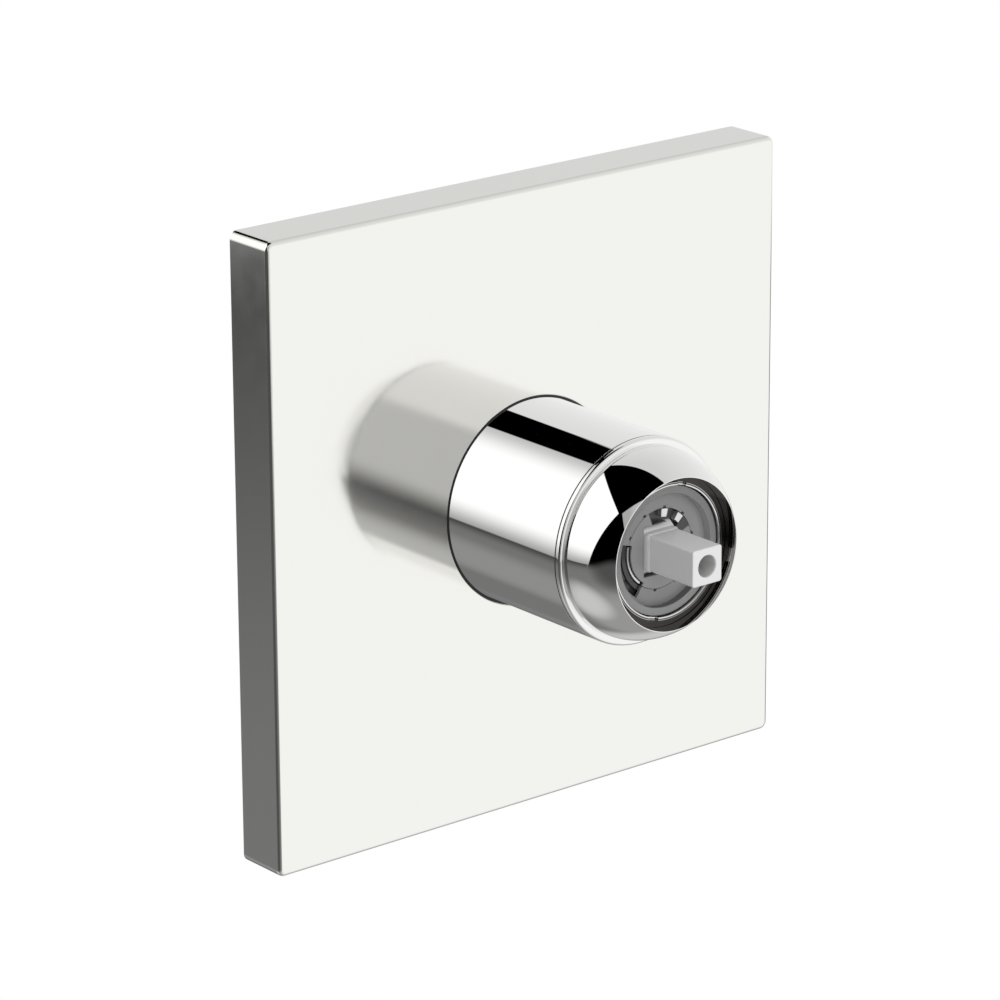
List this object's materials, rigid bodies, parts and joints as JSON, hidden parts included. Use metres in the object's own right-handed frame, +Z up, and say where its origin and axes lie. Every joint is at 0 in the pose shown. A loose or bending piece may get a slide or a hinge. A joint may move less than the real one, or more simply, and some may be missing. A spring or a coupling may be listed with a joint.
{
  "type": "single-handle shower mixer",
  "caption": "Concealed single-lever shower mixer with square escutcheon, sleeve, domed cap, square control spindle, ceramic cartridge and in-wall brass body.",
  "frame": {"origin": "on the finished wall, where the control axis passes through it, in the plane of the escutcheon's back", "axes": "+Y into the wall, so the front faces -Y; +Z up, towards the mixed outlet; +X to the right, seen from the front, towards the cold inlet"},
  "size_m": [0.15, 0.1136, 0.15],
  "materials": {
    "chrome_plate": "bright chrome plate, very slightly softened",
    "chrome_sleeve": "mirror chrome on drawn brass",
    "chrome_trim": "mirror chrome",
    "chrome_cap": "mirror chrome on turned brass",
    "gasket_foam": "closed-cell foam rubber",
    "black_rubber": "satin black rubber",
    "chrome_nut": "chromed turned brass",
    "cast_brass": "sand-cast and blasted brass",
    "housing_plastic": "moulded grey plastic",
    "limit_plastic": "moulded mid-grey plastic",
    "turret_plastic": "moulded mid-grey plastic",
    "bright_steel": "polished stainless steel",
    "spindle_plastic": "satin off-white plastic",
    "carrier_plastic": "moulded acetal plastic",
    "ceramic": "lapped alumina ceramic",
    "base_plastic": "moulded dark grey plastic"
  },
  "bodies": {
    "mixer": {"escutcheon": "chrome_plate", "escutcheon_gasket": "gasket_foam", "sleeve_seal": "black_rubber", "sleeve": "chrome_sleeve", "sleeve_rings": "black_rubber", "trim_ring": "chrome_trim", "dome_cap": "chrome_cap", "cartridge_nut": "chrome_nut", "valve_body": "cast_brass", "cartridge_housing": "housing_plastic", "limit_ring": "limit_plastic", "fixed_disc": "ceramic", "disc_seals": "black_rubber", "cartridge_base": "base_plastic", "base_seals": "black_rubber"},
    "turret": {"turret": "turret_plastic", "turret_ring": "bright_steel", "pivot_pin": "bright_steel"},
    "lever": {"spindle": "spindle_plastic"},
    "mixing_disc": {"disc_carrier": "carrier_plastic", "moving_disc": "ceramic"}
  },
  "joints": [
    {"name": "temperature_turn", "type": "hinge", "parent": "mixer", "child": "turret", "pos_m": [0, -0.05, 0], "axis": [0, -1, 0], "range_deg": [-50, 50]},
    {"name": "flow_tilt", "type": "hinge", "parent": "turret", "child": "lever", "pos_m": [0, -0.05362, 0], "axis": [-1, 0, 0], "range_deg": [-12.5, 12.5]},
    {"name": "disc_slide", "type": "slide", "parent": "turret", "child": "mixing_disc", "axis": [0, 0, -1], "range_m": [-0.00265, 0.00265]}
  ],
  "couplings": [
    {"joint": "disc_slide", "follows": "flow_tilt", "m_per_rad": 0.012}
  ]
}
